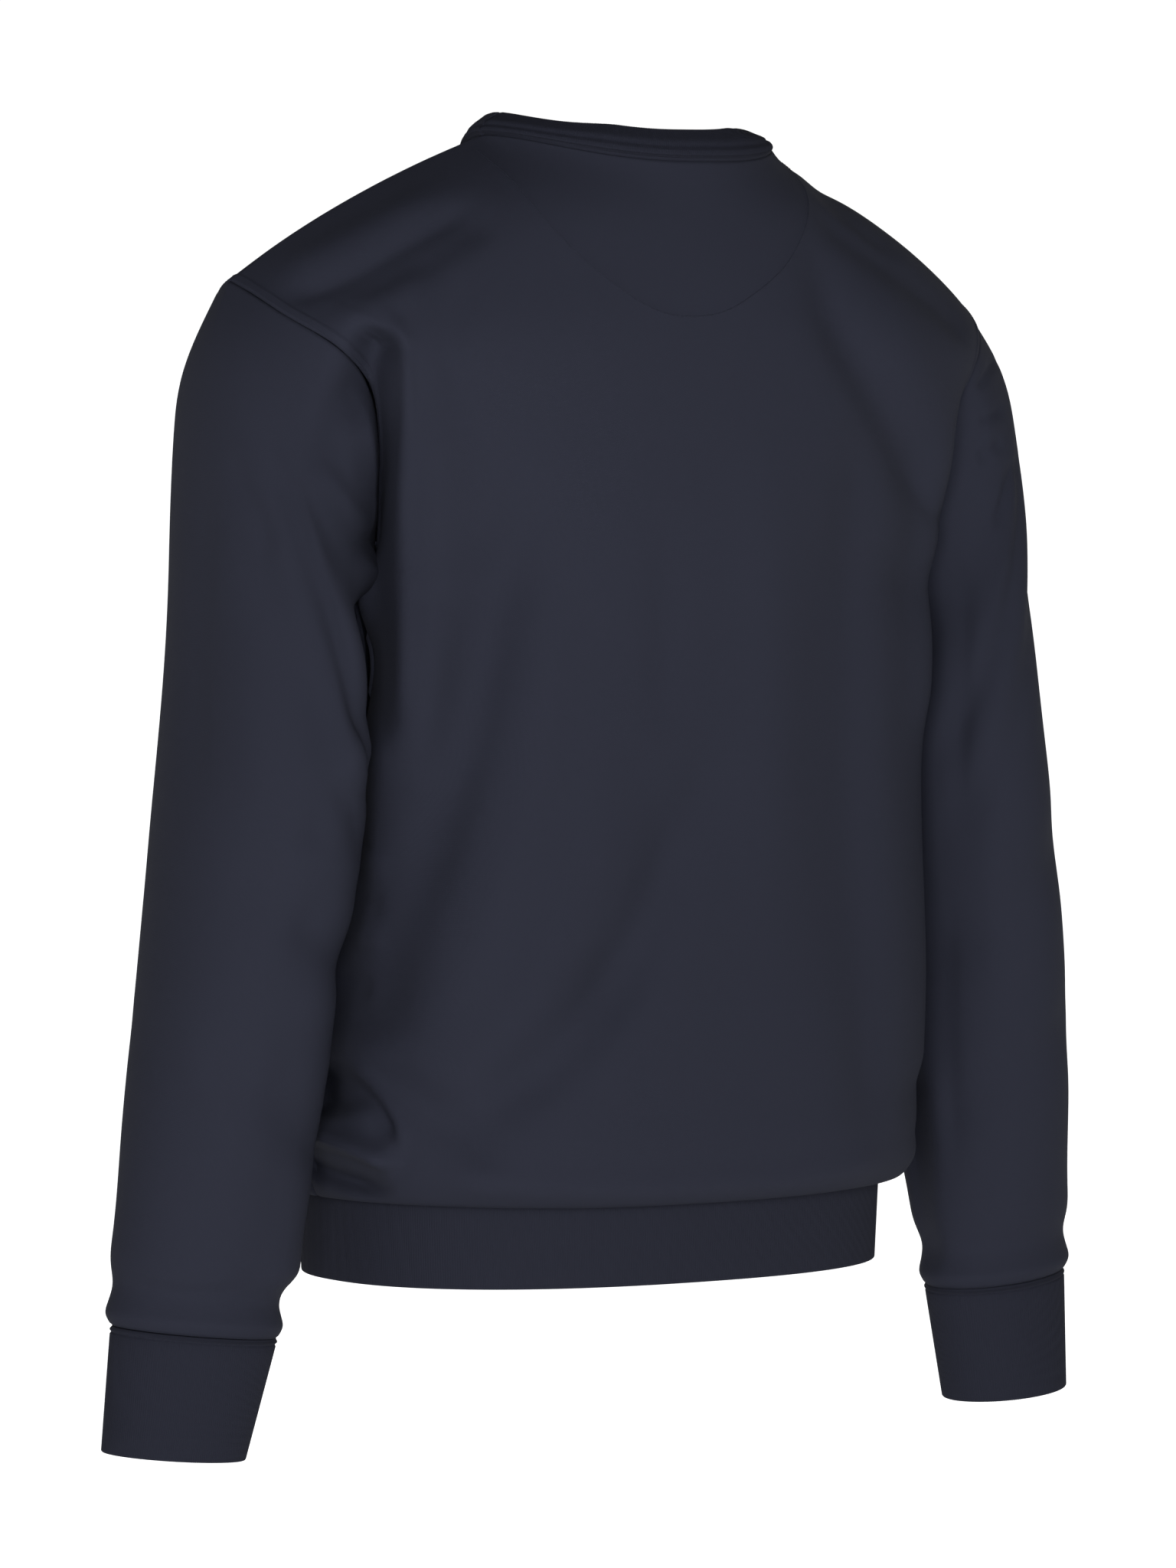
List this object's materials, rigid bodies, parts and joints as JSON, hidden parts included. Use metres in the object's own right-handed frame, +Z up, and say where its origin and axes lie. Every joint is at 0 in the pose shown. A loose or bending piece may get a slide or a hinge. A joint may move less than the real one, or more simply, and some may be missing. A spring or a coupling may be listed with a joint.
{
  "type": "crewneck sweatshirt",
  "caption": "Long-sleeved crewneck sweatshirt worn out to its full hollow form, with ribbed neckband, cuffs and hem band.",
  "frame": {"origin": "middle of the neck opening at the height of the tops of the shoulders, where the wearer holds the garment up", "axes": "+Z up, -Y towards the wearer's front, +X towards the wearer's left"},
  "size_m": [0.7002, 0.3097, 0.8116],
  "materials": {
    "fleece": "smooth matt navy jersey face of a brushed-back fleece knit",
    "rib": "matt navy one-by-one rib knit",
    "facing": "matt navy jersey"
  },
  "bodies": {
    "root": {"back_panel": "fleece", "front_panel": "fleece", "sleeve_left": "fleece", "sleeve_right": "fleece", "cuff_left": "rib", "cuff_right": "rib", "hem_band": "rib", "neckband": "rib", "half_moon": "facing"}
  },
  "joints": []
}
